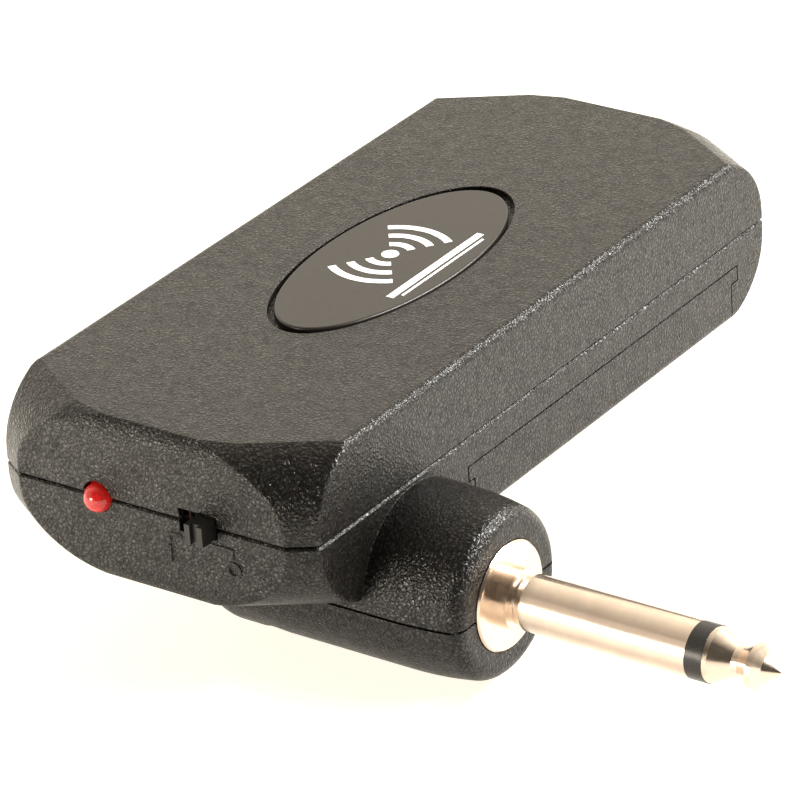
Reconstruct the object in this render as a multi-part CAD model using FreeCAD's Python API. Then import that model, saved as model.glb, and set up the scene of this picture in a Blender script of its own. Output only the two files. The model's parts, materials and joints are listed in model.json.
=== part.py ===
import FreeCAD, Part
import math
import os

os.makedirs("parts", exist_ok=True)

V = FreeCAD.Vector
X = V(1, 0, 0)
Y = V(0, 1, 0)
Z = V(0, 0, 1)

# Wireless guitar transmitter, millimetres, +Z up.
# The origin is the centre of the plug's shoulder face. +X runs along the plug towards its tip,
# +Y runs from the end with the lamp and the switch towards the other end.

# ---- driving dimensions -------------------------------------------------------------------
body_width = 41.8
body_length = 93.1
upper_height = 9.7
lower_height = 9.9
wall = 1.5

plug_radius = 3.175
plug_length = 33.5
shoulder_proud = 0.3
barrel_overhang = 11.7
barrel_radius = 10.35
barrel_length = 36.1
plug_from_front = 18.9
plug_below_underside = 1.0

corner_cut = 1.7
corner_radius = 9.0
corner_flat = 1.3
corner_angle = 32.0
blend_flat = 3.5
blend_cut = 0.7
end_radius = 4.0
end_top_depth = 1.1
end_bottom_depth = 0.7
long_round = 1.0
edge_round = 0.55

seam_gap = 0.3
seam_depth = 0.45
rim_ease = 0.25
part_gap = 0.2

battery_width = 25.8
battery_body_length = 45.4
battery_thickness = 15.9
battery_skin = 0.35
lamp_radius = 1.65

# ---- positions worked out from them ---------------------------------------------------------
barrel_face_x = -shoulder_proud
side_x = barrel_face_x - barrel_overhang
body_x = side_x - body_width / 2
far_x = side_x - body_width
front_y = -plug_from_front
rear_y = front_y + body_length
mid_y = front_y + body_length / 2
bottom_z = plug_below_underside
seam_z = bottom_z + lower_height
top_z = seam_z + upper_height
floor_z = bottom_z + wall
ceiling_z = top_z - wall
inner_side_x = side_x - wall
inner_front_y = front_y + wall
barrel_end_x = barrel_face_x - barrel_length

# battery door in the +X side and the underside
door_y0 = front_y + 30.3
door_y1 = front_y + 83.8
ear_y0 = front_y + 29.2
ear_y1 = front_y + 85.2
door_top_z = seam_z - 3.25
ear_bottom_z = seam_z - 5.3
door_inner_x = body_x - 8.3
partition = 1.0

# 9 V block battery, its studs facing the front
battery_x1 = inner_side_x - 0.6
battery_x0 = battery_x1 - battery_width
battery_mid_x = (battery_x0 + battery_x1) / 2
battery_y1 = door_y1 - 0.4
battery_y0 = battery_y1 - battery_body_length
battery_z0 = floor_z + 0.25
battery_z1 = battery_z0 + battery_thickness
battery_mid_z = (battery_z0 + battery_z1) / 2
stud_pitch = 12.7
stud_height = 2.7
stud_radius = 2.85
crown_radius = 4.3
crown_bore = 3.25
snap_y1 = battery_y0 - stud_height - 0.3
snap_thickness = 2.5

# circuit board
board_z0 = seam_z + 1.9
board_z1 = board_z0 + 1.2
board_rear_y = door_y0 - 1.9
board_strip_x1 = door_inner_x - partition - 0.4
board_strip_y1 = rear_y - 11.0

# lamp and switch in the front end, both on the seam
lamp_x = body_x - 6.9
lamp_z = seam_z - 0.1
lamp_back_y = inner_front_y + 1.1
switch_x = body_x + 6.45
window_width = 5.0
window_z0 = seam_z - 1.3
window_z1 = seam_z + 1.5
knob_width = 2.3
knob_height = 2.35
knob_proud = 2.3
switch_travel = 2.2
switch_z = (window_z0 + window_z1) / 2
can_width = 8.2
can_depth = 3.6
can_y0 = inner_front_y + 0.2
can_wall = 0.3

# oval badge in the top
badge_x = body_x
badge_y = mid_y
pocket_half_width = 9.1
pocket_half_length = 20.5
inlay_half_width = 8.7
inlay_half_length = 19.3
pocket_depth = 0.8

# screws
case_screw_x = 12.6
case_screw_y = 6.9
case_screw_places = [
    (body_x + sx * case_screw_x, y)
    for sx in (-1, 1)
    for y in (front_y + case_screw_y, rear_y - case_screw_y)
]
case_boss_radius = 2.3
screw_radius = 1.0
screw_head_radius = 1.9
board_screw_places = [
    (body_x - 15.8, front_y + 20.0),
    (body_x - 1.5, front_y + 6.2),
    (body_x - 15.4, front_y + 62.5),
]
cover_screw_x = barrel_end_x + 9.5
cover_screw_y = 5.2


# ---- small helpers --------------------------------------------------------------------------
def box(x0, x1, y0, y1, z0, z1):
    return Part.makeBox(x1 - x0, y1 - y0, z1 - z0, V(x0, y0, z0))


def rod(radius, start, direction, length):
    return Part.makeCylinder(radius, length, start, direction)


def tube(outer, inner, start, direction, length):
    return rod(outer, start, direction, length).cut(rod(inner, start, direction, length))


def oval(half_x, half_y, x, y, z, height):
    """Upright prism with an elliptical outline, its long axis along Y."""
    outline = Part.Ellipse(V(x, y + half_y, z), V(x + half_x, y, z), V(x, y, z))
    return Part.Face(Part.Wire(outline.toShape())).extrude(Z * height)


def turned(points):
    """Solid turned about the plug axis from (x, radius) corners; the ends close on the axis."""
    first = V(points[0][0], 0, 0)
    last = V(points[-1][0], 0, 0)
    corners = [first] + [V(x, 0, r) for x, r in points] + [last, first]
    return Part.Face(Part.makePolygon(corners)).revolve(V(0, 0, 0), X, 360)


def fuse(shapes):
    whole = shapes[0]
    for shape in shapes[1:]:
        whole = whole.fuse(shape)
    return whole.removeSplitter()


def wire_run(points, radius):
    """Round wire swept along a smooth curve through the points."""
    curve = Part.BSplineCurve()
    curve.interpolate([V(*p) for p in points])
    path = Part.Wire(curve.toShape())
    start = curve.value(curve.FirstParameter)
    heading = curve.tangent(curve.FirstParameter)[0]
    outline = Part.Wire(Part.Circle(start, heading, radius).toShape())
    return path.makePipeShell([outline], True, False)


def bent_lead(points, width):
    """Square lead made of straight legs that each run along one axis."""
    legs = []
    for a, b in zip(points, points[1:]):
        low = [min(p, q) - width / 2 for p, q in zip(a, b)]
        high = [max(p, q) + width / 2 for p, q in zip(a, b)]
        legs.append(box(low[0], high[0], low[1], high[1], low[2], high[2]))
    return fuse(legs)


def save(name, shapes):
    """Write one node; several separate solids go in one compound."""
    shapes = shapes if isinstance(shapes, list) else [shapes]
    solids = [solid for shape in shapes for solid in shape.Solids]
    shape = solids[0] if len(solids) == 1 else Part.makeCompound(solids)
    shape.exportStep("parts/" + name + ".step")


# ---- the outer form ---------------------------------------------------------------------------
def rolled_cutter(start, normal, along, length, flat_up, flat_down, roll):
    """Waste outside a face that is flat round the seam and rolls inwards above and below it."""
    half = math.sqrt(0.5)

    def at(out, up):
        return start + normal * out + Z * up

    def roll_points(flat, way):
        return [
            at(0, way * flat),
            at(roll * half - roll, way * (flat + roll * half)),
            at(-roll, way * (flat + roll)),
        ]

    reach = 30.0
    upper = roll_points(flat_up, 1)
    lower = roll_points(flat_down, -1)[::-1]
    outline = [
        Part.makeLine(lower[2], upper[0]),
        Part.Arc(*upper).toShape(),
        Part.makeLine(upper[2], at(reach, flat_up + roll)),
        Part.makeLine(at(reach, flat_up + roll), at(reach, -flat_down - roll)),
        Part.makeLine(at(reach, -flat_down - roll), lower[0]),
        Part.Arc(*lower).toShape(),
    ]
    return Part.Face(Part.Wire(outline)).extrude(along * length)


def slab(z0, z1):
    """Everything between two heights."""
    return box(far_x - 50, side_x + 50, front_y - 50, rear_y + 50, z0, z1)


def upright_cutter(sign_x, sign_y, angle, cut, flat, roll):
    """Waste beyond one upright corner, its face turned by angle from the end to the side."""
    normal = V(sign_x * math.sin(angle), sign_y * math.cos(angle), 0)
    along = V(sign_x * math.cos(angle), -sign_y * math.sin(angle), 0)
    corner = V(body_x + sign_x * body_width / 2, mid_y + sign_y * body_length / 2, seam_z)
    half_length = 30.0
    start = corner - normal * cut - along * half_length
    return rolled_cutter(start, normal, along, 2 * half_length, flat, flat, roll)


def corner_cutter(sign_x, sign_y, inset):
    """Waste beyond the slanted facet of one upright corner."""
    angle = math.radians(corner_angle)
    return upright_cutter(
        sign_x, sign_y, angle, corner_cut + inset, corner_flat, corner_radius - inset
    )


def blend_cutter(sign_x, sign_y):
    """Waste at the top of the ridge between an end and its corner facet."""
    angle = math.radians(corner_angle)
    half = angle / 2
    roll_height = upper_height - corner_flat
    corner_depth = corner_radius - math.sqrt(corner_radius**2 - roll_height**2)
    ridge_seam = corner_cut / math.sin(angle) * math.sin(half)
    top_reach = corner_cut + corner_depth - end_top_depth * math.cos(angle)
    ridge_top = top_reach / math.sin(angle) * math.sin(half) + end_top_depth * math.cos(half)
    depth = ridge_top + blend_cut - ridge_seam
    height = upper_height - blend_flat
    blend_roll = (height**2 + depth**2) / (2 * depth)
    waste = upright_cutter(sign_x, sign_y, half, ridge_seam, blend_flat, blend_roll)
    return waste.common(slab(seam_z, top_z + 10))


def end_cutter(sign_y):
    """Waste beyond one end, which rolls in towards the top and the underside."""

    def roll_height(depth):
        return math.sqrt(2 * end_radius * depth - depth**2)

    start = V(far_x - 5, mid_y + sign_y * body_length / 2, seam_z)
    flat_up = upper_height - roll_height(end_top_depth)
    flat_down = lower_height - roll_height(end_bottom_depth)
    return rolled_cutter(start, Y * sign_y, X, body_width + 10, flat_up, flat_down, end_radius)


def sharp_edges(form):
    """Edges where two faces meet at a clear angle."""
    found = []
    for edge in form.Edges:
        middle = edge.valueAt((edge.FirstParameter + edge.LastParameter) / 2)
        faces = form.ancestorsOfType(edge, Part.Face)
        normals = [face.normalAt(*face.Surface.parameter(middle)) for face in faces]
        if normals[0].getAngle(normals[1]) > math.radians(8):
            found.append(edge)
    return found


def body_form(inset):
    """Outline solid of both shells, shrunk by inset on every side; only the outside is rounded."""
    form = box(
        far_x + inset,
        side_x - inset,
        front_y + inset,
        rear_y - inset,
        bottom_z + inset,
        top_z - inset,
    )
    if inset == 0:
        for sign_y in (-1, 1):
            form = form.cut(end_cutter(sign_y))
    for sign_x in (-1, 1):
        for sign_y in (-1, 1):
            form = form.cut(corner_cutter(sign_x, sign_y, inset))
    if inset == 0:
        form = form.Solids[0]
        long_edges = [e for e in sharp_edges(form) if e.Length > body_length / 2]
        form = form.makeFillet(long_round, long_edges)
        form = form.makeFillet(edge_round, sharp_edges(form))
        for sign_x in (-1, 1):
            for sign_y in (-1, 1):
                form = form.cut(blend_cutter(sign_x, sign_y))
    return form


outer_form = body_form(0)


def barrel_form():
    """Solid barrel round the plug axis: rounded inner end, crowned towards its eased front edge."""
    end_round = 5.0
    face_round = 1.8
    crown_x = barrel_face_x - 8.7
    crown_angle = math.radians(10)
    shoulder_x = barrel_end_x + end_round
    ease_x = barrel_face_x - face_round * (1 - math.sin(crown_angle))
    ease_radius = barrel_radius - (ease_x - crown_x) * math.tan(crown_angle / 2)
    face_radius = ease_radius - face_round * math.cos(crown_angle)

    def at(x, radius):
        return V(x, 0, radius)

    def arc_about(x, radius, size, degrees):
        angle = math.radians(degrees)
        return at(x + size * math.sin(angle), radius + size * math.cos(angle))

    def crown(angle):
        size = (ease_x - crown_x) / math.sin(crown_angle)
        return at(crown_x + size * math.sin(angle), barrel_radius - size * (1 - math.cos(angle)))

    end_centre = (shoulder_x, barrel_radius - end_round, end_round)
    face_centre = (barrel_face_x - face_round, face_radius, face_round)
    outline = [
        Part.makeLine(at(barrel_end_x, 0), arc_about(*end_centre, -90)),
        Part.Arc(
            arc_about(*end_centre, -90), arc_about(*end_centre, -45), arc_about(*end_centre, 0)
        ).toShape(),
        Part.makeLine(at(shoulder_x, barrel_radius), at(crown_x, barrel_radius)),
        Part.Arc(crown(0), crown(crown_angle / 2), crown(crown_angle)).toShape(),
        Part.Arc(
            crown(crown_angle), arc_about(*face_centre, 50), arc_about(*face_centre, 90)
        ).toShape(),
        Part.makeLine(arc_about(*face_centre, 90), at(barrel_face_x, 0)),
        Part.makeLine(at(barrel_face_x, 0), at(barrel_end_x, 0)),
    ]
    return Part.Face(Part.Wire(outline)).revolve(V(0, 0, 0), X, 360)


# the plug's fixings along the axis, from the shoulder inwards
shoulder_radius = 6.2
shoulder_thickness = 1.6
stem_radius = 4.45
face_wall = 3.1
stem_end_x = -9.0
washer_thickness = 0.6
nut_thickness = 2.5
washer_x = barrel_face_x - face_wall
nut_x = washer_x - washer_thickness
sleeve_lug_x = nut_x - nut_thickness
insulator_end_x = stem_end_x - 1.4


def barrel_hollow():
    """Room inside the barrel: counterbore for the shoulder, stem hole, then a wide chamber."""
    shoulder_seat = rod(shoulder_radius + 0.1, V(-shoulder_thickness, 0, 0), X, 5)
    stem_hole = rod(stem_radius + 0.1, V(washer_x - 1, 0, 0), X, face_wall + 1)
    chamber_x = barrel_end_x + 3.0
    chamber = rod(barrel_radius - 2.4, V(chamber_x, 0, 0), X, washer_x - chamber_x)
    return fuse([shoulder_seat, stem_hole, chamber])


def cover_screw_places():
    return [(cover_screw_x, -cover_screw_y), (cover_screw_x, cover_screw_y)]


# ---- shells -----------------------------------------------------------------------------------
def compartment_walls(z0, z1):
    """Walls that fence the battery off from the electronics."""
    x0 = door_inner_x - partition
    front = box(x0, inner_side_x + 0.1, door_y0 - partition - 0.3, door_y0 - 0.3, z0, z1)
    inner = box(x0, door_inner_x, door_y0 - partition - 0.3, door_y1 + 1.1, z0, z1)
    rear = box(x0, inner_side_x + 0.1, door_y1 + 1.0, door_y1 + 1.0 + partition, z0, z1)
    return fuse([front, inner, rear]).common(body_form(wall - 0.1))


def wire_slot():
    """Notch at the seam where the battery leads leave the compartment."""
    y0 = door_y0 - partition - 1
    return box(battery_mid_x - 8, battery_mid_x + 8, y0, door_y0, seam_z, seam_z + 5.5)


def lamp_hole():
    """Hole at the seam, a little wider than the lamp, which hangs towards one side of it."""
    return rod(lamp_radius + 0.2, V(lamp_x - 0.1, front_y - 5, seam_z), Y, 5 + wall + 0.5)


def switch_window():
    half = window_width / 2
    return box(
        switch_x - half, switch_x + half, front_y - 5, inner_front_y + 0.5, window_z0, window_z1
    )


def lip_ring(outside, inside, height):
    """Band at the seam reaching outside and inside the inner wall face, for the locating lip."""
    ring = body_form(wall - outside).cut(body_form(wall + inside))
    return ring.common(slab(seam_z - 0.5, seam_z + height))


def upper_shell():
    outer = outer_form.common(slab(seam_z, top_z + 1))
    shell = outer.cut(body_form(wall).common(slab(seam_z - 1, top_z)))
    reveal = outer_form.cut(body_form(seam_depth)).common(slab(seam_z - 1, seam_z + seam_gap))
    shell = shell.fuse(compartment_walls(seam_z + 0.05, ceiling_z + 0.1))
    bosses = [
        rod(case_boss_radius, V(x, y, seam_z), Z, ceiling_z - seam_z + 0.1)
        for x, y in case_screw_places
    ]
    shell = fuse([shell] + bosses).cut(lip_ring(0.7, 0.05, 1.2)).cut(reveal)
    for x, y in case_screw_places:
        shell = shell.cut(rod(screw_radius + 0.02, V(x, y, seam_z - 1), Z, 7.5))
    pocket = oval(
        pocket_half_width, pocket_half_length, badge_x, badge_y, top_z - pocket_depth, 5
    )
    for waste in (pocket, lamp_hole(), switch_window(), wire_slot()):
        shell = shell.cut(waste)
    return shell


def door_region(gap):
    """Space of the battery door: a deep strip along the side and a plate under the body."""
    sheet = box(
        door_inner_x + gap,
        side_x + 5,
        door_y0 + gap,
        door_y1 - gap,
        bottom_z - 1,
        door_top_z - gap,
    )
    ears = box(
        inner_side_x,
        side_x + 5,
        ear_y0 + gap,
        ear_y1 - gap,
        ear_bottom_z + gap,
        door_top_z - gap,
    )
    return sheet.fuse(ears)


door_tab_ys = (door_y0 + 10.0, door_y1 - 16.0)
door_tab_width = 6.0
door_tab_reach = 1.6
door_tab_rise = 0.4
door_tab_thickness = 0.7


def door_tab(y, gap):
    """Tongue on the door's inner edge that slides into a slot in the lower shell's floor."""
    z0 = bottom_z + door_tab_rise
    return box(
        door_inner_x - door_tab_reach - gap,
        door_inner_x + 1.0,
        y - gap,
        y + door_tab_width + gap,
        z0 - gap,
        z0 + door_tab_thickness + gap,
    )


def battery_door():
    skin = outer_form.cut(body_form(wall))
    door = skin.common(door_region(part_gap))
    for y in door_tab_ys:
        door = door.fuse(door_tab(y, 0))
    grip_y = (door_y0 + door_y1) / 2
    for k in range(4):
        x = side_x - 4.0 - 1.6 * k
        groove = rod(0.5, V(x, grip_y - 7, bottom_z - 0.2), Y, 14)
        door = door.cut(groove)
    return door.removeSplitter()


def end_marks():
    """Raised guide lines and the two generic switch marks beside the window."""
    y0 = front_y - 0.16
    y1 = front_y + 0.3
    line = 0.3
    left = switch_x - window_width / 2
    right = switch_x + window_width / 2
    level = seam_z - 2.05
    drop = 0.9
    marks = [
        box(left - 1.6, left + 0.3, y0, y1, level, level + line),
        box(left - 1.6, left - 1.6 + line, y0, y1, level - drop, level),
        box(right - 1.0, right + 2.0, y0, y1, level, level + line),
        box(right + 2.0 - line, right + 2.0, y0, y1, level - drop, level),
    ]
    mark_z = seam_z - 4.3
    marks.append(box(left - 1.8, left - 1.3, y0, y1, mark_z - 0.95, mark_z + 0.95))
    ring_centre = V(right + 1.9, y0, mark_z)
    marks.append(tube(1.0, 0.6, ring_centre, Y, y1 - y0))
    return marks


def eased_rim(solid):
    """Take the sharp corner off the edges that lie in the seam plane."""
    rim = [e for e in solid.Edges if e.BoundBox.ZMin > seam_z - 0.001]
    return solid.makeChamfer(rim_ease, rim)


def lower_shell():
    outer = eased_rim(outer_form.common(slab(bottom_z - 1, seam_z)).Solids[0])
    shell = outer.cut(body_form(wall).common(slab(bottom_z, seam_z + 1)))
    lip = lip_ring(0.6, 0, 1.0)
    lip_stop = box(body_x - 9.5, body_x + 12, front_y, inner_front_y + 1, seam_z, seam_z + 2)
    shell = shell.fuse(lip.cut(lip_stop))
    upper_half = box(barrel_end_x - 1, 5, -20, 20, 0, 20)
    shell = shell.fuse(barrel_form().common(upper_half))
    bosses = [
        rod(case_boss_radius, V(x, y, floor_z - 0.1), Z, seam_z - floor_z)
        for x, y in case_screw_places
    ]
    posts = [
        rod(1.9, V(x, y, floor_z - 0.1), Z, board_z0 - floor_z + 0.05)
        for x, y in board_screw_places
    ]
    walls = compartment_walls(floor_z - 0.1, seam_z)
    shell = fuse([shell, walls] + bosses + posts)
    shell = shell.cut(barrel_hollow())
    cover_bosses = [
        rod(2.1, V(x, y, 0), Z, 7.0).common(barrel_form()) for x, y in cover_screw_places()
    ]
    shell = fuse([shell] + cover_bosses)
    for x, y in cover_screw_places():
        shell = shell.cut(rod(screw_radius + 0.02, V(x, y, -1), Z, 6.5))
    for x, y in case_screw_places:
        shell = shell.cut(rod(screw_radius + 0.15, V(x, y, bottom_z - 1), Z, 20))
        shell = shell.cut(rod(screw_head_radius + 0.15, V(x, y, bottom_z - 1), Z, 5.0))
    for x, y in board_screw_places:
        shell = shell.cut(rod(screw_radius + 0.02, V(x, y, board_z0 - 6.0), Z, 10))
    shell = shell.cut(door_region(0))
    for y in door_tab_ys:
        shell = shell.cut(door_tab(y, 0.05))
    lead_slot = box(barrel_end_x + 3.5, barrel_end_x + 7.0, -3.5, 3.5, 3.0, 15.0)
    for waste in (lead_slot, lamp_hole(), switch_window()):
        shell = shell.cut(waste)
    return fuse([shell] + end_marks())


def jack_cover():
    """Lower half of the barrel, closed by two screws beside the plug's tail."""
    lower_half = box(barrel_end_x - 1, 5, -20, 20, -20, 0)
    cover = barrel_form().common(lower_half).cut(barrel_hollow())
    bosses = [
        rod(2.1, V(x, y, -7.5), Z, 7.5).common(barrel_form()) for x, y in cover_screw_places()
    ]
    cover = fuse([cover] + bosses)
    for x, y in cover_screw_places():
        cover = cover.cut(rod(screw_radius + 0.15, V(x, y, -12), Z, 13))
        cover = cover.cut(rod(screw_head_radius + 0.15, V(x, y, -12), Z, 6.0))
    core = rod(barrel_radius - 1.1, V(barrel_end_x + 0.6, 0, 0), X, barrel_length - 1.2)
    split = box(barrel_end_x - 1, 1, -20, 20, -seam_gap, 1)
    return cover.cut(barrel_form().cut(core).common(split)).removeSplitter()


# ---- badge ------------------------------------------------------------------------------------
inlay_top_z = top_z + 0.1


def badge():
    height = inlay_top_z - (top_z - pocket_depth)
    inlay = oval(
        inlay_half_width, inlay_half_length, badge_x, badge_y, top_z - pocket_depth, height
    )
    rim = [e for e in inlay.Edges if e.BoundBox.ZMin > inlay_top_z - 0.01]
    return inlay.makeFillet(0.25, rim)


def badge_print():
    """Generic mark: a dot with three wave arcs on each side and a twin underline."""
    z = inlay_top_z
    thick = 0.04
    mark_x = badge_x - 0.7
    mark_y = badge_y + 0.5
    pieces = [rod(1.0, V(mark_x, mark_y, z), Z, thick)]
    for k in range(3):
        radius = 2.5 + 2.2 * k
        width = 0.95
        ring = tube(radius + width / 2, radius - width / 2, V(mark_x, mark_y, z), Z, thick)
        for side in (-1, 1):
            wedge_face = Part.Face(
                Part.makePolygon(
                    [
                        V(mark_x, mark_y, z),
                        V(mark_x - 9, mark_y + side * 12, z),
                        V(mark_x + 9, mark_y + side * 12, z),
                        V(mark_x, mark_y, z),
                    ]
                )
            )
            pieces.append(ring.common(wedge_face.extrude(Z * thick)))
    bar_x = badge_x + 5.0
    pieces.append(box(bar_x, bar_x + 0.9, badge_y - 8.5, badge_y + 9.5, z, z + thick))
    pieces.append(box(bar_x + 1.3, bar_x + 1.6, badge_y - 7.5, badge_y + 8.5, z, z + thick))
    return pieces


# ---- plug -------------------------------------------------------------------------------------
collar_radius = 3.45
collar_end = 1.5
neck_radius = 2.75
neck_end = 2.1
sleeve_start = 3.0
ring_start = 23.5
ring_end = 25.6
bore_radius = 2.2
rod_radius = 1.2


def plug_sleeve():
    """Shoulder disc, collar, neck, then the long sleeve with a tapered start; a stem inside."""
    body = turned(
        [
            (stem_end_x, stem_radius),
            (-shoulder_thickness, stem_radius),
            (-shoulder_thickness, shoulder_radius),
            (-0.2, shoulder_radius),
            (0, shoulder_radius - 0.2),
            (0, collar_radius),
            (collar_end, collar_radius),
            (collar_end + 0.15, neck_radius),
            (neck_end, neck_radius),
            (sleeve_start, plug_radius),
            (ring_start, plug_radius),
        ]
    )
    return body.cut(rod(bore_radius, V(stem_end_x - 1, 0, 0), X, 60))


def plug_insulator():
    """Moulded insulator: visible ring, thin tube inside the sleeve, rear flange."""
    body = turned(
        [
            (insulator_end_x, 3.8),
            (stem_end_x, 3.8),
            (stem_end_x, bore_radius - 0.02),
            (ring_start, bore_radius - 0.02),
            (ring_start, plug_radius),
            (ring_end, plug_radius),
        ]
    )
    return body.cut(rod(rod_radius + 0.02, V(insulator_end_x - 1, 0, 0), X, 60))


tip_lug_thickness = 0.4
tip_lug_x = insulator_end_x - tip_lug_thickness


def plug_tip():
    """Tip contact: shoulder, waist and arrow head, on a rod riveted at the far end."""
    rivet_x = tip_lug_x - 0.6
    return turned(
        [
            (rivet_x - 0.4, 0.9),
            (rivet_x, 1.8),
            (tip_lug_x, 1.8),
            (tip_lug_x, rod_radius),
            (ring_end, rod_radius),
            (ring_end, 3.1),
            (ring_end + 0.5, 3.0),
            (ring_end + 2.7, 1.75),
            (ring_end + 3.4, 1.7),
            (ring_end + 4.9, 2.6),
            (ring_end + 5.5, 2.55),
            (ring_end + 6.2, 1.55),
            (plug_length - 0.3, 0.45),
            (plug_length, 0.2),
        ]
    )


def jack_nut():
    corners = [
        V(nut_x, 6.4 * math.cos(math.radians(60 * k)), 6.4 * math.sin(math.radians(60 * k)))
        for k in range(7)
    ]
    nut = Part.Face(Part.makePolygon(corners)).extrude(-X * nut_thickness)
    return nut.cut(rod(stem_radius + 0.02, V(nut_x - 5, 0, 0), X, 10))


def jack_washer():
    return tube(6.9, stem_radius + 0.1, V(nut_x, 0, 0), X, washer_thickness)


def sleeve_lug():
    thick = 0.4
    ring = tube(6.0, stem_radius + 0.05, V(sleeve_lug_x - thick, 0, 0), X, thick)
    tail = box(sleeve_lug_x - 5.5, sleeve_lug_x, -1.2, 1.2, 5.2, 5.2 + thick)
    return fuse([ring, tail])


def tip_lug():
    ring = tube(3.0, rod_radius + 0.02, V(tip_lug_x, 0, 0), X, tip_lug_thickness)
    tail = box(tip_lug_x - 4.0, tip_lug_x + tip_lug_thickness, -1.0, 1.0, 2.2, 2.6)
    return fuse([ring, tail])


# ---- lamp and switch --------------------------------------------------------------------------
def lamp_lens():
    """Lamp: a half round dome and body through the wall, a flange with one flat behind it."""
    dome_y = front_y + 0.1
    flange_radius = 2.2
    flange_y = lamp_back_y - 1.0
    half = math.sqrt(0.5)

    def at(radius, y):
        return V(lamp_x + radius, y, lamp_z)

    tip = at(0, dome_y - lamp_radius)
    corners = [
        at(lamp_radius, dome_y),
        at(lamp_radius, flange_y),
        at(flange_radius, flange_y),
        at(flange_radius, lamp_back_y),
        at(0, lamp_back_y),
        tip,
    ]
    dome = Part.Arc(tip, at(lamp_radius * half, dome_y - lamp_radius * half), corners[0])
    outline = [dome.toShape()] + [Part.makeLine(a, b) for a, b in zip(corners, corners[1:])]
    lens = Part.Face(Part.Wire(outline)).revolve(V(lamp_x, 0, lamp_z), Y, 360)
    flat_z = board_z0 - 0.1
    return lens.cut(box(lamp_x - 5, lamp_x + 5, flange_y, lamp_back_y + 1, flat_z, flat_z + 5))


lead_width = 0.45
lamp_lead_places = [(lamp_x - 0.9, lamp_back_y + 1.9), (lamp_x + 0.9, lamp_back_y + 3.2)]


def lamp_leads():
    y0 = lamp_back_y + lead_width / 2 + 0.02
    return [
        bent_lead([(x, y0, lamp_z), (x, y, lamp_z), (x, y, board_z1 + 0.3)], lead_width)
        for x, y in lamp_lead_places
    ]


def switch_can():
    half = can_width / 2
    z0 = switch_z - 1.65
    z1 = board_z0 - 0.05
    can = box(switch_x - half, switch_x + half, can_y0, can_y0 + can_depth, z0, z1)
    room = box(
        switch_x - half + can_wall,
        switch_x + half - can_wall,
        can_y0 + can_wall,
        can_y0 + can_depth + 1,
        z0 + can_wall,
        z1 - can_wall,
    )
    slot_half = (knob_width + switch_travel) / 2 + 0.15
    slot = box(
        switch_x - slot_half,
        switch_x + slot_half,
        can_y0 - 1,
        can_y0 + 1,
        switch_z - knob_height / 2 - 0.1,
        switch_z + knob_height / 2 + 0.1,
    )
    return can.cut(room).cut(slot)


knob_rest_x = switch_x + switch_travel / 2


def switch_slider():
    """Grooved knob on a carrier plate; it stands at the off end of its window."""
    half = knob_width / 2
    z0 = switch_z - knob_height / 2
    z1 = switch_z + knob_height / 2
    tip_y = front_y - knob_proud
    knob = box(knob_rest_x - half, knob_rest_x + half, tip_y, can_y0 + 0.6, z0, z1)
    groove = knob_width / 5
    knob = knob.cut(
        box(knob_rest_x - groove, knob_rest_x + groove, tip_y - 1, tip_y + 0.5, z0 - 1, z1 + 1)
    )
    carrier = box(
        knob_rest_x - half - 0.35,
        knob_rest_x + half + 0.35,
        can_y0 + can_wall + 0.1,
        can_y0 + can_wall + 1.1,
        switch_z - 1.2,
        switch_z + 1.2,
    )
    return fuse([knob, carrier])


def switch_base():
    half = can_width / 2 - can_wall - 0.02
    y0 = can_y0 + can_depth - 0.9
    base = box(
        switch_x - half,
        switch_x + half,
        y0,
        y0 + 0.9,
        switch_z - 1.33,
        board_z0 - 0.37,
    )
    for k in (-1, 0, 1):
        x = switch_x + 2.0 * k
        base = base.cut(box(x - 0.27, x + 0.27, y0 - 1, y0 + 2, switch_z - 0.27, switch_z + 0.27))
    return base


def switch_pins():
    y0 = can_y0 + can_depth - 1.2
    y1 = can_y0 + can_depth + 1.0
    return [
        bent_lead(
            [
                (switch_x + 2.0 * k, y0 + 0.25, switch_z),
                (switch_x + 2.0 * k, y1, switch_z),
                (switch_x + 2.0 * k, y1, board_z1 + 0.3),
            ],
            0.5,
        )
        for k in (-1, 0, 1)
    ]


# ---- circuit board and what stands on it -------------------------------------------------------
def lead_holes():
    """Board holes for the lamp leads and the switch pins."""
    pins = [(switch_x + 2.0 * k, can_y0 + can_depth + 1.0) for k in (-1, 0, 1)]
    return pins + lamp_lead_places


def circuit_board():
    outline = body_form(wall + 0.5).common(slab(board_z0, board_z1))
    battery_side = box(board_strip_x1, side_x + 1, board_rear_y, rear_y, 0, 40)
    rear = box(far_x - 1, side_x + 1, board_strip_y1, rear_y + 1, 0, 40)
    board = outline.cut(battery_side).cut(rear)
    for x, y in case_screw_places:
        board = board.cut(rod(case_boss_radius + 0.5, V(x, y, 0), Z, 40))
    for x, y in board_screw_places:
        board = board.cut(rod(screw_radius + 0.2, V(x, y, 0), Z, 40))
    for x, y in lead_holes():
        board = board.cut(rod(0.45, V(x, y, 0), Z, 40))
    return board


strip_x = (far_x + wall + board_strip_x1) / 2


def coil_places():
    return [(strip_x + 0.3, front_y + 36.5), (strip_x + 0.3, front_y + 45.0)]


def coil_cans():
    cans = []
    for x, y in coil_places():
        can = box(x - 3.5, x + 3.5, y - 3.5, y + 3.5, board_z1, board_z1 + 4.6)
        upright = [e for e in can.Edges if abs(e.tangentAt(e.FirstParameter).z) > 0.9]
        can = can.makeFillet(0.6, upright)
        room = box(x - 3.2, x + 3.2, y - 3.2, y + 3.2, board_z1, board_z1 + 4.3)
        can = can.cut(room).cut(rod(1.9, V(x, y, board_z1), Z, 6))
        cans.append(can)
    return cans


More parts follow.
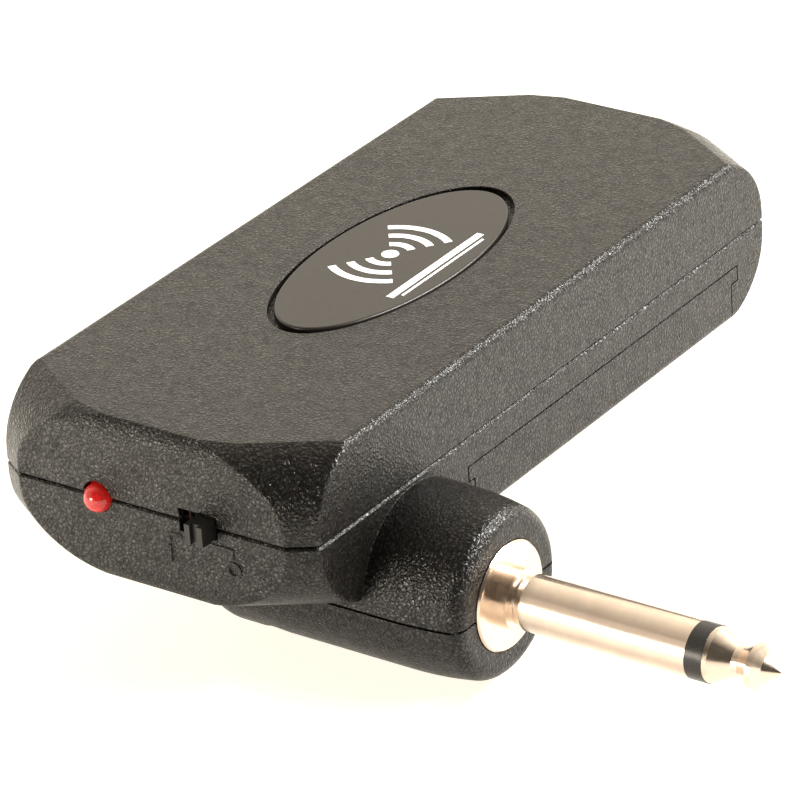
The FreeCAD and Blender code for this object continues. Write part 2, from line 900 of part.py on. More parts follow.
def coil_cores():
    cores = []
    for x, y in coil_places():
        core = rod(1.7, V(x, y, board_z1), Z, 4.3)
        core = core.cut(box(x - 1.2, x + 1.2, y - 0.25, y + 0.25, board_z1 + 3.5, board_z1 + 5))
        cores.append(core)
    return cores


def crystal():
    x0 = strip_x - 1.5
    y0 = front_y + 50.0
    can = box(x0 - 1.8, x0 + 1.8, y0, y0 + 10.2, board_z1, board_z1 + 3.4)
    upright = [e for e in can.Edges if abs(e.tangentAt(e.FirstParameter).z) > 0.9]
    can = can.makeFillet(1.7, upright)
    top = [e for e in can.Edges if e.BoundBox.ZMin > board_z1 + 3.3]
    return can.makeFillet(0.4, top)


def antenna_coil():
    """Loaded antenna: a close helix standing clear of the board between two legs."""
    radius = 2.0
    wire = 0.4
    turns = 9
    pitch = 1.3
    y0 = front_y + 67.0
    centre_z = board_z1 + radius + 0.6
    points = []
    for k in range(turns * 12 + 1):
        angle = 2 * math.pi * k / 12
        points.append(
            (
                strip_x + radius * math.cos(angle),
                y0 + pitch * k / 12,
                centre_z + radius * math.sin(angle),
            )
        )
    return wire_run(points, wire)


def chip_body():
    x0 = body_x - 10.5
    y0 = front_y + 12.0
    return box(x0, x0 + 3.9, y0, y0 + 8.7, board_z1 + 0.15, board_z1 + 1.6)


def chip_pins():
    x0 = body_x - 10.5
    y0 = front_y + 12.0
    pins = []
    for k in range(7):
        y = y0 + 0.54 + 1.27 * k
        for side, x in ((-1, x0), (1, x0 + 3.9)):
            a = min(x, x + side * 1.0)
            foot = box(a, a + 1.0, y - 0.2, y + 0.2, board_z1, board_z1 + 0.14)
            b = min(x, x + side * 0.35)
            leg = box(b, b + 0.35, y - 0.2, y + 0.2, board_z1, board_z1 + 0.8)
            pins.append(fuse([foot, leg]))
    return pins


def transistors():
    bodies = []
    for x, y in ((body_x - 2.5, front_y + 14.0), (body_x - 2.5, front_y + 21.0)):
        body = rod(2.3, V(x, y, board_z1 + 0.3), Z, 4.3)
        bodies.append(body.cut(box(x - 5, x + 5, y + 1.2, y + 5, 0, 40)))
    return bodies


def electrolytic_places():
    return [
        (body_x + 4.5, front_y + 22.5),
        (body_x + 11.0, front_y + 22.5),
        (body_x + 16.0, front_y + 17.5),
    ]


def electrolytics():
    return [
        fuse(
            [
                rod(2.4, V(x, y, board_z1), Z, 0.8),
                rod(2.2, V(x, y, board_z1 + 0.7), Z, 0.5),
                rod(2.4, V(x, y, board_z1 + 1.1), Z, 3.6),
            ]
        )
        for x, y in electrolytic_places()
    ]


def resistors():
    parts = []
    for k in range(5):
        x = body_x + 2.6 + 2.5 * k
        y = front_y + 13.5
        z = board_z1 + 1.0
        body = fuse(
            [
                rod(0.75, V(x, y - 1.6, z), Y, 3.2),
                rod(0.95, V(x, y - 1.8, z), Y, 0.8),
                rod(0.95, V(x, y + 1.0, z), Y, 0.8),
                bent_lead(
                    [
                        (x, y - 2.6, board_z1 + 0.25),
                        (x, y - 2.6, z),
                        (x, y + 2.6, z),
                        (x, y + 2.6, board_z1 + 0.25),
                    ],
                    0.4,
                ),
            ]
        )
        parts.append(body)
    return parts


def disc_capacitors():
    parts = []
    places = [
        (body_x - 17.0, front_y + 13.0),
        (body_x - 13.5, front_y + 25.0),
        (body_x - 7.5, front_y + 25.0),
        (body_x + 15.5, front_y + 24.5),
    ]
    for x, y in places:
        disc = rod(1.9, V(x - 0.6, y, board_z1 + 2.1), X, 1.2)
        rims = [e for e in disc.Edges if e.Length > 10]
        parts.append(disc.makeFillet(0.45, rims))
    return parts


trimmer_x = strip_x + 2.4
trimmer_y = front_y + 54.0


def trimmer():
    base = box(
        trimmer_x - 1.9, trimmer_x + 1.9, trimmer_y - 2.4, trimmer_y + 2.4, board_z1, board_z1 + 1.6
    )
    return base.cut(rod(1.3, V(trimmer_x, trimmer_y, board_z1 + 0.8), Z, 2))


def trimmer_dial():
    dial = rod(1.2, V(trimmer_x, trimmer_y, board_z1 + 0.8), Z, 1.1)
    slot = box(
        trimmer_x - 1.0,
        trimmer_x + 1.0,
        trimmer_y - 0.2,
        trimmer_y + 0.2,
        board_z1 + 1.4,
        board_z1 + 3,
    )
    return dial.cut(slot)


# ---- battery and its snap ----------------------------------------------------------------------
positive_x = battery_mid_x - stud_pitch / 2
negative_x = battery_mid_x + stud_pitch / 2


def battery_block(y0, y1, inset, corner):
    """Block along Y inside the battery's outline, with its four long edges rounded."""
    block = box(
        battery_x0 + inset,
        battery_x1 - inset,
        y0,
        y1,
        battery_z0 + inset,
        battery_z1 - inset,
    )
    long_edges = [e for e in block.Edges if abs(e.tangentAt(e.FirstParameter).y) > 0.9]
    return block.makeFillet(corner, long_edges)


def battery_jacket():
    """Thin can open towards the studs, its rim standing proud of the end plate."""
    can = battery_block(battery_y0 - 0.3, battery_y1, 0, 1.6)
    room = battery_block(battery_y0 - 1, battery_y1 - battery_skin, battery_skin, 1.25)
    return can.cut(room)


def battery_end():
    return battery_block(battery_y0, battery_y0 + 1.0, battery_skin + 0.05, 1.2)


def battery_cells():
    """Six cells inside the can, three across and two high."""
    radius = 3.7
    pitch_x = 7.6
    pitch_z = 7.5
    y0 = battery_y0 + 1.1
    y1 = battery_y1 - battery_skin - 0.1
    return [
        rod(radius, V(battery_mid_x + i * pitch_x, y0, battery_mid_z + j * pitch_z), Y, y1 - y0)
        for i in (-1, 0, 1)
        for j in (-0.5, 0.5)
    ]


def battery_studs():
    stud = rod(stud_radius, V(positive_x, battery_y0, battery_mid_z), -Y, stud_height)
    crown = tube(
        crown_radius, crown_bore, V(negative_x, battery_y0, battery_mid_z), -Y, stud_height
    )
    return [stud, crown]


def snap_pad():
    pad = box(
        battery_mid_x - 12.5,
        battery_mid_x + 12.5,
        snap_y1 - snap_thickness,
        snap_y1,
        battery_mid_z - 6.0,
        battery_mid_z + 6.0,
    )
    long_edges = [e for e in pad.Edges if abs(e.tangentAt(e.FirstParameter).y) > 0.9]
    return pad.makeFillet(5.8, long_edges)


def snap_contacts():
    reach = stud_height
    socket = tube(
        crown_radius, stud_radius + 0.1, V(positive_x, snap_y1, battery_mid_z), Y, reach
    )
    stud = rod(crown_bore - 0.15, V(negative_x, snap_y1, battery_mid_z), Y, reach)
    return [socket, stud]


def battery_foam():
    return box(
        battery_x0 + 3,
        battery_x1 - 3,
        battery_y0 + 8,
        battery_y1 - 6,
        battery_z1 + 0.02,
        ceiling_z - 0.02,
    )


# ---- wires -------------------------------------------------------------------------------------
def battery_wire(pad_x, board_x):
    start_y = snap_y1 - snap_thickness - 0.05
    start_z = battery_mid_z + 2.2
    crest_z = board_z1 + 1.6
    return wire_run(
        [
            (pad_x, start_y, start_z),
            (pad_x, start_y - 0.7, start_z + 0.1),
            ((pad_x + board_x) / 2, door_y0 - 0.8, crest_z - 0.5),
            (board_x, board_rear_y - 0.6, crest_z),
            (board_x, board_rear_y - 2.0, crest_z - 0.5),
            (board_x, board_rear_y - 2.4, board_z1 + 0.4),
        ],
        0.5,
    )


def tip_wire():
    return wire_run(
        [
            (tip_lug_x - 3.6, 0, 3.3),
            (tip_lug_x - 8.0, 0.2, 4.4),
            (barrel_end_x + 6.0, 0.4, 5.2),
            (barrel_end_x + 5.2, 0.4, 8.5),
            (barrel_end_x + 5.0, 0.4, board_z0 - 0.3),
        ],
        0.5,
    )


def ground_wire():
    return wire_run(
        [
            (sleeve_lug_x - 4.9, 0, 6.3),
            (sleeve_lug_x - 10.0, -1.4, 6.2),
            (barrel_end_x + 7.2, -2.2, 6.3),
            (barrel_end_x + 5.6, -2.2, 8.4),
            (barrel_end_x + 5.2, -2.2, board_z0 - 0.3),
        ],
        0.5,
    )


# ---- screws ------------------------------------------------------------------------------------
def screw(x, y, head_z, length, up):
    """Pan head screw with a cross slot; up says which way the shank points."""
    sign = 1 if up else -1
    head = rod(screw_head_radius, V(x, y, head_z), Z * sign, 1.4)
    rim = [e for e in head.Edges if abs(e.BoundBox.ZMin - head_z) < 0.01 and e.Length > 5]
    head = head.makeFillet(0.6, rim)
    shank = rod(screw_radius, V(x, y, head_z + sign * 1.3), Z * sign, length)
    point = Part.makeCone(
        screw_radius, 0.3, 1.2, V(x, y, head_z + sign * (1.3 + length)), Z * sign
    )
    body = fuse([head, shank, point])
    for w, h in ((1.2, 0.22), (0.22, 1.2)):
        z0, z1 = sorted((head_z - sign * 1.0, head_z + sign * 0.8))
        body = body.cut(box(x - w, x + w, y - h, y + h, z0, z1))
    return body


def case_screws():
    return [screw(x, y, bottom_z + 2.55, 11.0, True) for x, y in case_screw_places]


def board_screws():
    return [screw(x, y, board_z1 + 1.45, 5.0, False) for x, y in board_screw_places]


def cover_screws():
    return [screw(x, y, -7.4, 9.5, True) for x, y in cover_screw_places()]


NODES = {
    "upper_shell": upper_shell,
    "lower_shell": lower_shell,
    "jack_cover": jack_cover,
    "battery_door": battery_door,
    "badge": badge,
    "badge_print": badge_print,
    "plug_sleeve": plug_sleeve,
    "plug_insulator": plug_insulator,
    "plug_tip": plug_tip,
    "jack_nut": jack_nut,
    "jack_washer": jack_washer,
    "sleeve_lug": sleeve_lug,
    "tip_lug": tip_lug,
    "lamp_lens": lamp_lens,
    "lamp_leads": lamp_leads,
    "switch_can": switch_can,
    "switch_slider": switch_slider,
    "switch_base": switch_base,
    "switch_pins": switch_pins,
    "circuit_board": circuit_board,
    "coil_cans": coil_cans,
    "coil_cores": coil_cores,
    "crystal": crystal,
    "antenna_coil": antenna_coil,
    "chip_body": chip_body,
    "chip_pins": chip_pins,
    "transistors": transistors,
    "electrolytics": electrolytics,
    "resistors": resistors,
    "disc_capacitors": disc_capacitors,
    "trimmer": trimmer,
    "trimmer_dial": trimmer_dial,
    "battery_jacket": battery_jacket,
    "battery_end": battery_end,
    "battery_cells": battery_cells,
    "battery_studs": battery_studs,
    "snap_pad": snap_pad,
    "snap_contacts": snap_contacts,
    "battery_foam": battery_foam,
    "wire_red": lambda: battery_wire(positive_x, positive_x + 3.0),
    "wire_black": lambda: battery_wire(negative_x, negative_x - 3.0),
    "tip_wire": tip_wire,
    "ground_wire": ground_wire,
    "case_screws": case_screws,
    "board_screws": board_screws,
    "cover_screws": cover_screws,
}

for name, make in NODES.items():
    save(name, make())
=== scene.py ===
import json
import math

import bpy
from mathutils import Matrix, Vector


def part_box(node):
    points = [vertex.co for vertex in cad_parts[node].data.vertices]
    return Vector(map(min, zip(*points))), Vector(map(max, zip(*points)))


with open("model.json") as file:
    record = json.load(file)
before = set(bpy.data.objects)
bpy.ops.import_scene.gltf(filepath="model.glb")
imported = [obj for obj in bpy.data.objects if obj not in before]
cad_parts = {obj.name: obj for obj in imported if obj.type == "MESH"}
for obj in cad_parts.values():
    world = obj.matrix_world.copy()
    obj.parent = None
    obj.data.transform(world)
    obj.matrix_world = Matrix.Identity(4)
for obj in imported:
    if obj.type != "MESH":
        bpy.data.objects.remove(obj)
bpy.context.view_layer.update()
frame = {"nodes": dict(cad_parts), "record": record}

MM = 0.001

# ---- places read from the frame ---------------------------------------------------------------
top_low, top_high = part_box("upper_shell")
cover_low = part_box("jack_cover")[0]
jacket_low, jacket_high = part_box("battery_jacket")
res_low, res_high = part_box("resistors")
cap_low, cap_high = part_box("electrolytics")

case_centre = (top_low + top_high) / 2
case_side_x = top_high.x
case_top_z = top_high.z
floor_gap = 0.02 * MM
floor_z = cover_low.z - floor_gap


# ---- node helpers -----------------------------------------------------------------------------
class Shader:
    """A short way to add and join the nodes of one material."""

    def __init__(self, name):
        self.material = bpy.data.materials.new(name)
        self.material.use_nodes = True
        self.tree = self.material.node_tree
        self.tree.nodes.clear()
        self.output = self.add("ShaderNodeOutputMaterial")
        self.surface = self.add("ShaderNodeBsdfPrincipled")
        self.join(self.surface.outputs["BSDF"], self.output.inputs["Surface"])
        self.place = self.add("ShaderNodeTexCoord").outputs["Object"]

    def add(self, kind, **settings):
        node = self.tree.nodes.new(kind)
        for key, value in settings.items():
            setattr(node, key, value)
        return node

    def join(self, source, target):
        self.tree.links.new(source, target)

    def put(self, socket, value):
        """Set an input of the surface, from a number, a colour or another node's output."""
        target = self.surface.inputs[socket]
        if hasattr(value, "is_linked"):
            self.join(value, target)
        elif isinstance(value, tuple):
            target.default_value = (*value, 1.0)
        else:
            target.default_value = value

    def stretched(self, scale):
        """Object coordinates multiplied by a factor along each axis."""
        node = self.add("ShaderNodeVectorMath", operation="MULTIPLY")
        self.join(self.place, node.inputs[0])
        node.inputs[1].default_value = scale
        return node.outputs["Vector"]

    def warped(self, size_mm, shift_mm):
        """Object coordinates pushed about by noise of the given size."""
        noise = self.add("ShaderNodeTexNoise")
        noise.inputs["Scale"].default_value = 1.0 / (size_mm * MM)
        self.join(self.place, noise.inputs["Vector"])
        push = self.add("ShaderNodeVectorMath", operation="MULTIPLY_ADD")
        self.join(noise.outputs["Color"], push.inputs[0])
        push.inputs[1].default_value = (shift_mm * MM,) * 3
        self.join(self.place, push.inputs[2])
        return push.outputs["Vector"]

    def noise(self, size_mm, detail=3.0, rough=0.5, where=None):
        """Noise whose blobs are about size_mm across."""
        node = self.add("ShaderNodeTexNoise")
        node.inputs["Scale"].default_value = 1.0 / (size_mm * MM)
        node.inputs["Detail"].default_value = detail
        node.inputs["Roughness"].default_value = rough
        self.join(where or self.place, node.inputs["Vector"])
        return node.outputs["Fac"]

    def cells(self, size_mm, feature="F1", where=None):
        node = self.add("ShaderNodeTexVoronoi", feature=feature)
        node.inputs["Scale"].default_value = 1.0 / (size_mm * MM)
        self.join(where or self.place, node.inputs["Vector"])
        return node.outputs["Distance"]

    def ramp(self, value, start, end, low=0.0, high=1.0):
        """Straight ramp from low to high while value goes from start to end."""
        node = self.add("ShaderNodeMapRange")
        self.join(value, node.inputs["Value"])
        for socket, number in zip(
            ("From Min", "From Max", "To Min", "To Max"), (start, end, low, high)
        ):
            node.inputs[socket].default_value = number
        return node.outputs["Result"]

    def math(self, operation, a, b):
        node = self.add("ShaderNodeMath", operation=operation)
        for k, value in enumerate((a, b)):
            if hasattr(value, "is_linked"):
                self.join(value, node.inputs[k])
            else:
                node.inputs[k].default_value = value
        return node.outputs["Value"]

    def blend(self, *weighted):
        """Sum of outputs, each multiplied by its weight."""
        total = None
        for value, weight in weighted:
            term = self.math("MULTIPLY", value, weight)
            total = term if total is None else self.math("ADD", total, term)
        return total

    def mix(self, factor, a, b):
        """Colour mix; a and b are colours or outputs."""
        node = self.add("ShaderNodeMix", data_type="RGBA")
        if hasattr(factor, "is_linked"):
            self.join(factor, node.inputs[0])
        else:
            node.inputs[0].default_value = factor
        for socket, value in ((6, a), (7, b)):
            if hasattr(value, "is_linked"):
                self.join(value, node.inputs[socket])
            else:
                node.inputs[socket].default_value = (*value, 1.0)
        return node.outputs[2]

    def part_of(self, axis):
        """One coordinate of the object-space position, in metres."""
        node = self.add("ShaderNodeSeparateXYZ")
        self.join(self.place, node.inputs[0])
        return node.outputs[axis]

    def reach(self, direction):
        """How far the place lies along a direction, in metres."""
        node = self.add("ShaderNodeVectorMath", operation="DOT_PRODUCT")
        self.join(self.place, node.inputs[0])
        node.inputs[1].default_value = direction
        return node.outputs["Value"]

    def soft_normal(self, radius_mm):
        """Surface normal with the sharp edges rounded by radius_mm."""
        bevel = self.add("ShaderNodeBevel", samples=4)
        bevel.inputs["Radius"].default_value = radius_mm * MM
        return bevel.outputs["Normal"]

    def edge_mask(self, normal):
        """1 on sharp edges, 0 on open surface; used to lighten edges for wear and a painted
        highlight.
        """
        geometry = self.add("ShaderNodeNewGeometry")
        dot = self.add("ShaderNodeVectorMath", operation="DOT_PRODUCT")
        self.join(normal, dot.inputs[0])
        self.join(geometry.outputs["Normal"], dot.inputs[1])
        return self.ramp(dot.outputs["Value"], 0.995, 0.9)

    def bump(self, height, depth_mm, normal=None):
        """Raise the surface by up to depth_mm."""
        node = self.add("ShaderNodeBump")
        node.inputs["Strength"].default_value = 1.0
        node.inputs["Distance"].default_value = depth_mm * MM
        self.join(height, node.inputs["Height"])
        if normal:
            self.join(normal, node.inputs["Normal"])
        self.join(node.outputs["Normal"], self.surface.inputs["Normal"])


def moulded(name, colour, grain_mm, depth_mm, rough):
    """Black moulded plastic with a leather-like grain: pebbles parted by wandering creases."""
    s = Shader(name)
    where = s.warped(grain_mm, grain_mm * 1.2)
    pebbles = s.cells(grain_mm, "DISTANCE_TO_EDGE", where)
    pebbles = s.ramp(pebbles, 0.0, 0.42)
    wrinkle = s.noise(grain_mm * 0.55, 2.0, 0.6)
    wander = s.noise(grain_mm * 3.0, 2.0)
    height = s.blend((pebbles, 0.55), (wrinkle, 0.6), (wander, 0.2))
    normal = s.soft_normal(0.16)
    # painted shade: where the grain is low, in its hollows, the base colour falls to half and the
    # specular level is lowered
    dark = tuple(c * 0.5 for c in colour)
    # wear and painted highlight: the edges are lightened towards three times the base colour
    wear_and_sheen = tuple(c * 3 for c in colour)
    base = s.mix(s.ramp(height, 0.4, 1.0), dark, colour)
    base = s.mix(s.math("MULTIPLY", s.edge_mask(normal), 0.4), base, wear_and_sheen)
    s.put("Base Color", base)
    s.put("Specular IOR Level", s.ramp(height, 0.35, 0.9, 0.16, 0.78))
    s.put("Roughness", s.ramp(wander, 0.3, 0.7, rough + 0.05, rough - 0.05))
    s.bump(height, depth_mm, normal)
    return s.material


def smooth_plastic(name, colour, rough):
    """Smooth moulded plastic with faint ripple, dust and hairline scratches."""
    s = Shader(name)
    ripple = s.noise(1.6, 2.0)
    dust = s.noise(0.25, 4.0, 0.7)
    hair = s.noise(0.5, 3.0, 0.6, s.stretched((1.0, 9.0, 1.0)))
    dusty = tuple(c * 1.5 + 0.01 for c in colour)
    s.put("Base Color", s.mix(s.ramp(dust, 0.55, 0.8), colour, dusty))
    s.put("Roughness", s.ramp(hair, 0.35, 0.7, rough - 0.05, rough + 0.1))
    s.bump(s.blend((ripple, 0.6), (hair, 0.2)), 0.006)
    return s.material


def turned_metal(name, colour, rough):
    """Plated metal turned about X: fine lathe rings, faint smears and rubbed streaks."""
    s = Shader(name)
    rings = s.noise(1.0, 4.0, 0.6, s.stretched((30.0, 0.6, 0.6)))
    smear = s.noise(4.0, 4.0, 0.6)
    streak = s.noise(1.2, 3.0, 0.6, s.stretched((0.15, 2.0, 2.0)))
    s.put("Base Color", s.mix(s.ramp(smear, 0.35, 0.75), colour, tuple(c * 0.86 for c in colour)))
    s.put("Metallic", 1.0)
    wear_and_sheen = s.blend((smear, 0.5), (streak, 0.5))
    s.put("Roughness", s.ramp(wear_and_sheen, 0.3, 0.7, rough, rough + 0.14))
    s.bump(rings, 0.0012)
    return s.material


def plain_metal(name, colour, rough):
    """Plated or tinned sheet metal: mottled, lightly brushed."""
    s = Shader(name)
    mottle = s.noise(1.3, 4.0, 0.6)
    brush = s.noise(0.4, 3.0, 0.6)
    s.put("Base Color", s.mix(mottle, colour, tuple(c * 0.7 for c in colour)))
    s.put("Metallic", 1.0)
    s.put("Roughness", s.ramp(brush, 0.3, 0.7, rough, rough + 0.2))
    s.bump(brush, 0.004)
    return s.material


def lamp_resin(name, colour):
    """Tinted diffused resin of the lamp, with a clouded core and a faint painted glow."""
    s = Shader(name)
    cloud = s.noise(0.6, 3.0)
    s.put("Base Color", s.mix(s.ramp(cloud, 0.3, 0.7), colour, tuple(c * 0.6 for c in colour)))
    s.put("Roughness", s.ramp(cloud, 0.3, 0.7, 0.05, 0.14))
    s.put("Transmission Weight", 0.15)
    s.put("Subsurface Weight", 0.5)
    s.surface.inputs["Subsurface Radius"].default_value = (0.003, 0.0006, 0.0004)
    s.put("Coat Weight", 0.6)
    # painted glow: a faint emission makes the lamp glow, standing in for light
    s.put("Emission Color", colour)
    s.put("Emission Strength", 0.2)
    s.bump(cloud, 0.004)
    return s.material


def board_mask(name):
    """Green solder mask over copper tracks, with tinned pads about 2.54 mm apart."""
    s = Shader(name)
    weave = s.noise(0.3, 2.0, 0.5, s.stretched((1.0, 4.0, 1.0)))
    tracks = s.cells(2.6, "DISTANCE_TO_EDGE")
    track = s.ramp(tracks, 0.05, 0.09, 1.0, 0.0)
    pads = s.cells(2.54, "F1")
    pad = s.ramp(pads, 0.16, 0.2, 1.0, 0.0)
    green = s.mix(weave, (0.012, 0.10, 0.035), (0.02, 0.14, 0.05))
    green = s.mix(track, green, (0.05, 0.24, 0.08))
    s.put("Base Color", s.mix(pad, green, (0.6, 0.58, 0.55)))
    s.put("Metallic", s.math("MULTIPLY", pad, 0.9))
    s.put("Roughness", s.ramp(weave, 0.3, 0.7, 0.28, 0.42))
    s.bump(s.blend((track, 1.0), (weave, 0.3)), 0.03)
    return s.material


def soft_cover(name, colour, rough, cell_mm, depth_mm):
    """Rubber, vinyl or foam: dull, finely pitted."""
    s = Shader(name)
    pits = s.cells(cell_mm)
    scuff = s.noise(2.0, 4.0, 0.6)
    scuffed = tuple(c * 1.4 + 0.012 for c in colour)
    s.put("Base Color", s.mix(s.ramp(scuff, 0.35, 0.75), colour, scuffed))
    s.put("Roughness", s.ramp(scuff, 0.3, 0.7, rough - 0.08, rough + 0.08))
    s.bump(s.blend((pits, 1.0), (scuff, 0.4)), depth_mm)
    return s.material


def banded(name, colour, bands, span, axis, rough):
    """Lacquered body with coloured bands at stated places along one axis."""
    s = Shader(name)
    along = s.part_of(axis)
    low, high = span
    speck = s.noise(0.5, 3.0)
    base = s.mix(speck, colour, tuple(c * 0.8 for c in colour))
    for start, end, tint in bands:
        a = low + (high - low) * start
        b = low + (high - low) * end
        inside = s.math(
            "MULTIPLY", s.math("GREATER_THAN", along, a), s.math("LESS_THAN", along, b)
        )
        base = s.mix(inside, base, tint)
    s.put("Base Color", base)
    s.put("Roughness", s.ramp(speck, 0.3, 0.7, rough - 0.05, rough + 0.1))
    s.bump(speck, 0.01)
    return s.material


SHELL_BLACK = (0.009, 0.0078, 0.0064)
NICKEL = (0.90, 0.75, 0.62)

MATERIALS = {
    "shell_plastic": moulded("grained_shell", SHELL_BLACK, 0.5, 0.10, 0.27),
    "door_plastic": moulded("grained_door", SHELL_BLACK, 0.52, 0.11, 0.28),
    "knob_plastic": smooth_plastic("knob_black", (0.012, 0.011, 0.01), 0.38),
    "badge_plastic": smooth_plastic("badge_satin", (0.018, 0.0145, 0.012), 0.34),
    "print_ink": soft_cover("white_ink", (0.88, 0.88, 0.86), 0.5, 0.12, 0.004),
    "plug_metal": turned_metal("warm_nickel", NICKEL, 0.13),
    "ring_plastic": smooth_plastic("ring_black", (0.022, 0.02, 0.018), 0.3),
    "zinc": plain_metal("zinc_plate", (0.62, 0.62, 0.58), 0.3),
    "dark_steel": plain_metal("black_screw", (0.12, 0.12, 0.12), 0.35),
    "tin": plain_metal("bright_tin", (0.75, 0.74, 0.71), 0.22),
    "red_lens": lamp_resin("red_resin", (0.72, 0.018, 0.014)),
    "board": board_mask("solder_mask"),
    "phenolic": smooth_plastic("brown_phenolic", (0.27, 0.14, 0.06), 0.5),
    "ferrite": soft_cover("ferrite", (0.05, 0.048, 0.046), 0.6, 0.2, 0.02),
    "copper_wire": plain_metal("enamelled_copper", (0.80, 0.38, 0.18), 0.25),
    "epoxy": soft_cover("moulded_epoxy", (0.02, 0.02, 0.02), 0.55, 0.12, 0.01),
    "cap_sleeve": banded(
        "capacitor_sleeve",
        (0.02, 0.035, 0.12),
        [(0.86, 0.93, (0.55, 0.55, 0.55))],
        (cap_low.z, cap_high.z),
        "Z",
        0.3,
    ),
    "resistor_body": banded(
        "resistor_bands",
        (0.58, 0.44, 0.27),
        [
            (0.36, 0.40, (0.25, 0.09, 0.02)),
            (0.44, 0.48, (0.02, 0.02, 0.02)),
            (0.52, 0.56, (0.55, 0.03, 0.02)),
            (0.61, 0.65, (0.55, 0.40, 0.10)),
        ],
        (res_low.y, res_high.y),
        "Y",
        0.35,
    ),
    "ceramic_disc": soft_cover("dipped_ceramic", (0.55, 0.24, 0.06), 0.4, 0.4, 0.02),
    "trimmer_body": smooth_plastic("trimmer_blue", (0.04, 0.12, 0.38), 0.35),
    "battery_skin": banded(
        "battery_jacket",
        (0.035, 0.035, 0.038),
        [(0.0, 0.26, (0.62, 0.33, 0.14)), (0.26, 0.275, (0.75, 0.75, 0.72))],
        (jacket_low.y, jacket_high.y),
        "Y",
        0.3,
    ),
    "cell_wrap": smooth_plastic("cell_wrap", (0.05, 0.05, 0.055), 0.4),
    "foam": soft_cover("closed_foam", (0.03, 0.03, 0.03), 0.9, 0.3, 0.08),
    "snap_vinyl": soft_cover("snap_vinyl", (0.018, 0.018, 0.018), 0.5, 0.3, 0.02),
    "wire_red_pvc": smooth_plastic("red_pvc", (0.45, 0.02, 0.015), 0.42),
    "wire_black_pvc": smooth_plastic("black_pvc", (0.02, 0.02, 0.02), 0.42),
    "wire_white_pvc": smooth_plastic("white_pvc", (0.7, 0.69, 0.65), 0.42),
    "wire_green_pvc": smooth_plastic("green_pvc", (0.02, 0.2, 0.06), 0.42),
}

slot_of = {entry["node"]: entry["material_slot"] for entry in frame["record"]["subparts"]}
for node, thing in frame["nodes"].items():
    thing.data.materials.clear()
    thing.data.materials.append(MATERIALS[slot_of[node]])

# ---- stage, light and camera --------------------------------------------------------------------
VIEW_AZIMUTH = math.radians(36.47)
VIEW_ELEVATION = math.radians(27.35)
VIEW_ROLL = math.radians(3.98)
VIEW_DISTANCE = 0.5546
LENS = 235.6

WARM_WHITE = (1.0, 0.91, 0.77)
FLOOR_WHITE = (1.0, 0.92, 0.79)
STRIP_WHITE = (1.0, 0.985, 0.96)
PANEL_PINK = (1.0, 0.86, 0.78)
GLINT_CREAM = (1.0, 0.92, 0.78)

# brightness of the sweep behind the object and of the dark studio round the camera,
# and how squarely a direction must point at the camera for each
SWEEP_LIGHT, SWEEP_FACING = 1.58, -0.45
STUDIO_DARK, STUDIO_FACING = 0.08, 0.8

# glow of the floor behind the object, in front of it, to the left and to the right, and the
# stretches over which it changes, in metres from the origin
FLOOR_GLOW = 0.78
FLOOR_GLOW_FRONT = 0.26
LEFT_GLOW = 0.9
RIGHT_GLOW = 0.12
FRONT_FADE = (-0.06, 0.12)
LEFT_FADE = (0.04, 0.09)
RIGHT_FADE = (0.0, -0.05)
FLOOR_SEEN = 1.0
FLOOR_HALF_WIDTH = 4.0

toward_eye = Vector((math.sin(VIEW_AZIMUTH), -math.cos(VIEW_AZIMUTH), 0.0))
toward_left = Vector((-math.cos(VIEW_AZIMUTH), -math.sin(VIEW_AZIMUTH), 0.0))
view_from = toward_eye * math.cos(VIEW_ELEVATION) + Vector((0, 0, math.sin(VIEW_ELEVATION)))
aim = Vector((case_side_x - 1.15 * MM, 0.41 * MM, case_top_z - 0.46 * MM))


def add_camera():
    camera = bpy.data.cameras.new("camera")
    camera.lens = LENS
    camera.sensor_width = 36.0
    camera.clip_start = 0.01
    camera.clip_end = 10.0
    eye = bpy.data.objects.new("camera", camera)
    bpy.context.scene.collection.objects.link(eye)
    turn = (-view_from).to_track_quat("-Z", "Y").to_matrix().to_4x4()
    roll = Matrix.Rotation(-VIEW_ROLL, 4, "Z")
    eye.matrix_world = Matrix.Translation(aim + view_from * VIEW_DISTANCE) @ turn @ roll
    bpy.context.scene.camera = eye


def add_area(name, direction, distance, size, glow, colour):
    """Soft light of a stated size and brightness shining at the middle of the case."""
    width, height = size
    light = bpy.data.lights.new(name, "AREA")
    light.shape = "RECTANGLE"
    light.size = width
    light.size_y = height
    light.energy = glow * math.pi * width * height
    light.color = colour
    lamp = bpy.data.objects.new(name, light)
    bpy.context.scene.collection.objects.link(lamp)
    way = Vector(direction).normalized()
    lamp.location = case_centre + way * distance
    lamp.rotation_euler = (-way).to_track_quat("-Z", "Y").to_euler()


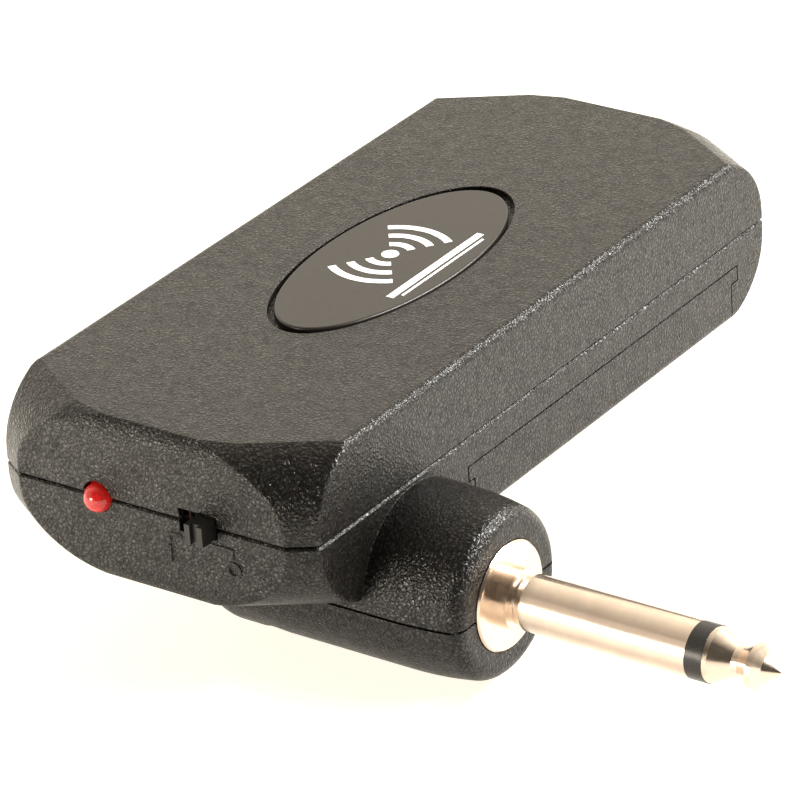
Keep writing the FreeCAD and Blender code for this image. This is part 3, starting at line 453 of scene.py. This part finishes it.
def add_floor():
    """Wide pale floor that the camera sees as white; its glow shapes the reflections."""
    half = FLOOR_HALF_WIDTH
    mesh = bpy.data.meshes.new("floor")
    corners = [(x * half, y * half, floor_z) for x, y in ((-1, -1), (1, -1), (1, 1), (-1, 1))]
    mesh.from_pydata(corners, [], [(0, 1, 2, 3)])
    floor = bpy.data.objects.new("floor", mesh)
    bpy.context.scene.collection.objects.link(floor)
    s = Shader("pale_floor")
    mottle = s.noise(60.0, 3.0)
    s.put("Base Color", s.mix(mottle, (0.52, 0.51, 0.49), (0.49, 0.48, 0.46)))
    s.put("Roughness", 0.6)
    s.put("Emission Color", FLOOR_WHITE)
    glow = s.ramp(s.reach(toward_eye), *FRONT_FADE, FLOOR_GLOW, FLOOR_GLOW_FRONT)
    sideways = s.reach(toward_left)
    glow = s.math("ADD", glow, s.ramp(sideways, *LEFT_FADE, 0.0, LEFT_GLOW))
    glow = s.math("ADD", glow, s.ramp(sideways, *RIGHT_FADE, 0.0, RIGHT_GLOW))
    seen = s.add("ShaderNodeLightPath").outputs["Is Camera Ray"]
    s.put("Emission Strength", s.math("MAXIMUM", glow, s.math("MULTIPLY", seen, FLOOR_SEEN)))
    s.bump(s.noise(0.8, 2.0), 0.01)
    mesh.materials.append(s.material)


def add_world():
    """Bright white sweep behind and beside the object, dark studio round the camera."""
    world = bpy.data.worlds.new("studio")
    bpy.context.scene.world = world
    world.use_nodes = True
    tree = world.node_tree
    background = tree.nodes["Background"]
    place = tree.nodes.new("ShaderNodeTexCoord")
    dot = tree.nodes.new("ShaderNodeVectorMath")
    dot.operation = "DOT_PRODUCT"
    dot.inputs[1].default_value = view_from
    tree.links.new(place.outputs["Generated"], dot.inputs[0])
    ramp = tree.nodes.new("ShaderNodeMapRange")
    tree.links.new(dot.outputs["Value"], ramp.inputs["Value"])
    settings = {
        "From Min": SWEEP_FACING,
        "From Max": STUDIO_FACING,
        "To Min": SWEEP_LIGHT,
        "To Max": STUDIO_DARK,
    }
    for socket, number in settings.items():
        ramp.inputs[socket].default_value = number
    tree.links.new(ramp.outputs["Result"], background.inputs["Strength"])
    background.inputs["Color"].default_value = (*WARM_WHITE, 1.0)


add_camera()
add_world()
add_floor()
add_area("right_strip", (0.62, 0.48, 0.60), 0.8, (0.8, 0.08), 75.0, STRIP_WHITE)
add_area("left_panel", (-0.528, -0.714, 0.458), 0.8, (0.5, 0.35), 0.3, PANEL_PINK)
add_area("lamp_glint", (-0.30, -0.95, 0.06), 0.6, (0.2, 0.2), 16.0, GLINT_CREAM)
bpy.context.scene.view_settings.view_transform = "Standard"
